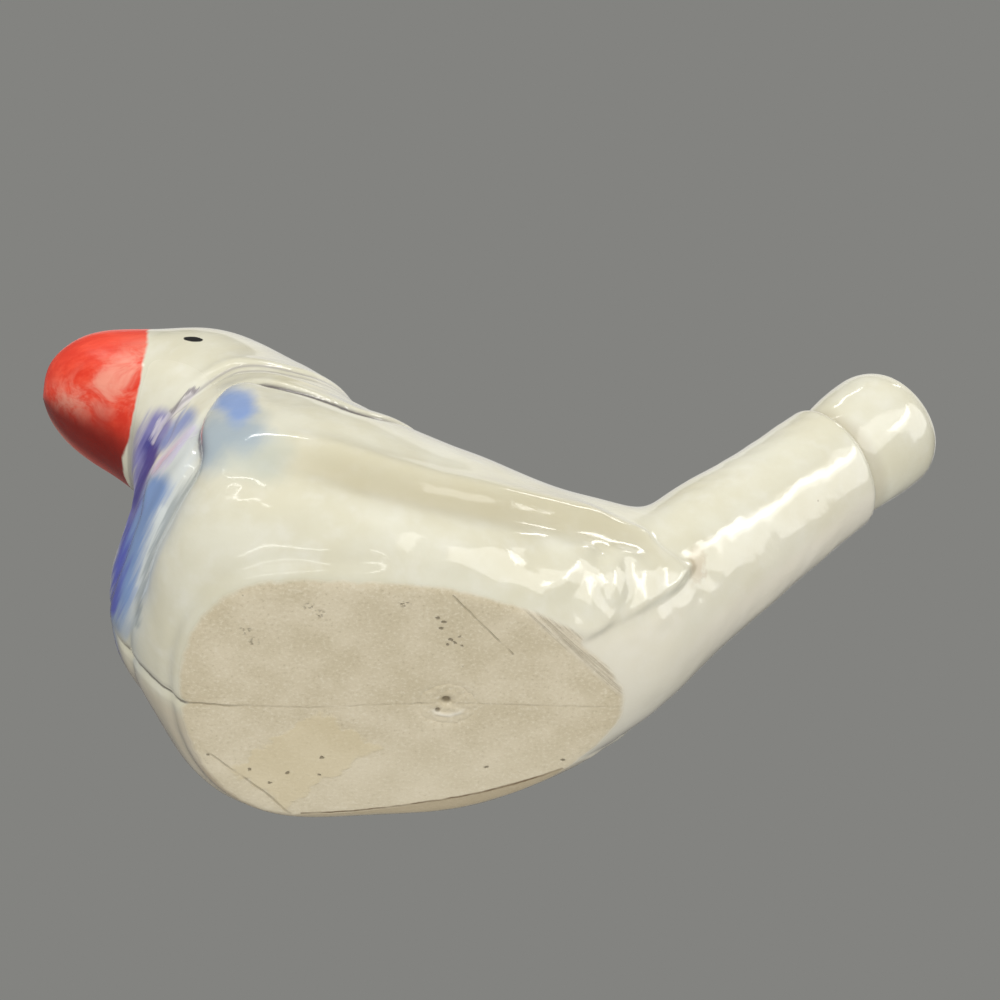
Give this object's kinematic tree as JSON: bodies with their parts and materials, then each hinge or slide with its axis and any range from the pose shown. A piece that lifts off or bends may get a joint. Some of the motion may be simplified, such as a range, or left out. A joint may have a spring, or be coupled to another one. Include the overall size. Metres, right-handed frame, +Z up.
{
  "type": "ceramic bird whistle",
  "caption": "Hollow glazed ceramic bird whistle: blown through the raised tail, it sounds over a window in the tail and warbles when the body holds water.",
  "frame": {"origin": "centre of the bounding box on the plane of the flat foot", "axes": "+Z up, +X from the beak to the mouthpiece, so the bird faces -X and its left side is at -Y"},
  "size_m": [0.1073, 0.0492, 0.0578],
  "materials": {
    "body_glaze": "glossy ivory glaze, red beak, blue airbrushed breast, bare foot",
    "tip_glaze": "glossy ivory glaze",
    "bare_clay": "unglazed, matte",
    "plug_clay": "unglazed, matte, rough"
  },
  "bodies": {
    "root": {"left_body_half": "body_glaze", "right_body_half": "body_glaze", "mouthpiece": "tip_glaze", "fipple_block": "bare_clay", "sound_tube": "bare_clay", "base_plug": "plug_clay"}
  },
  "joints": []
}
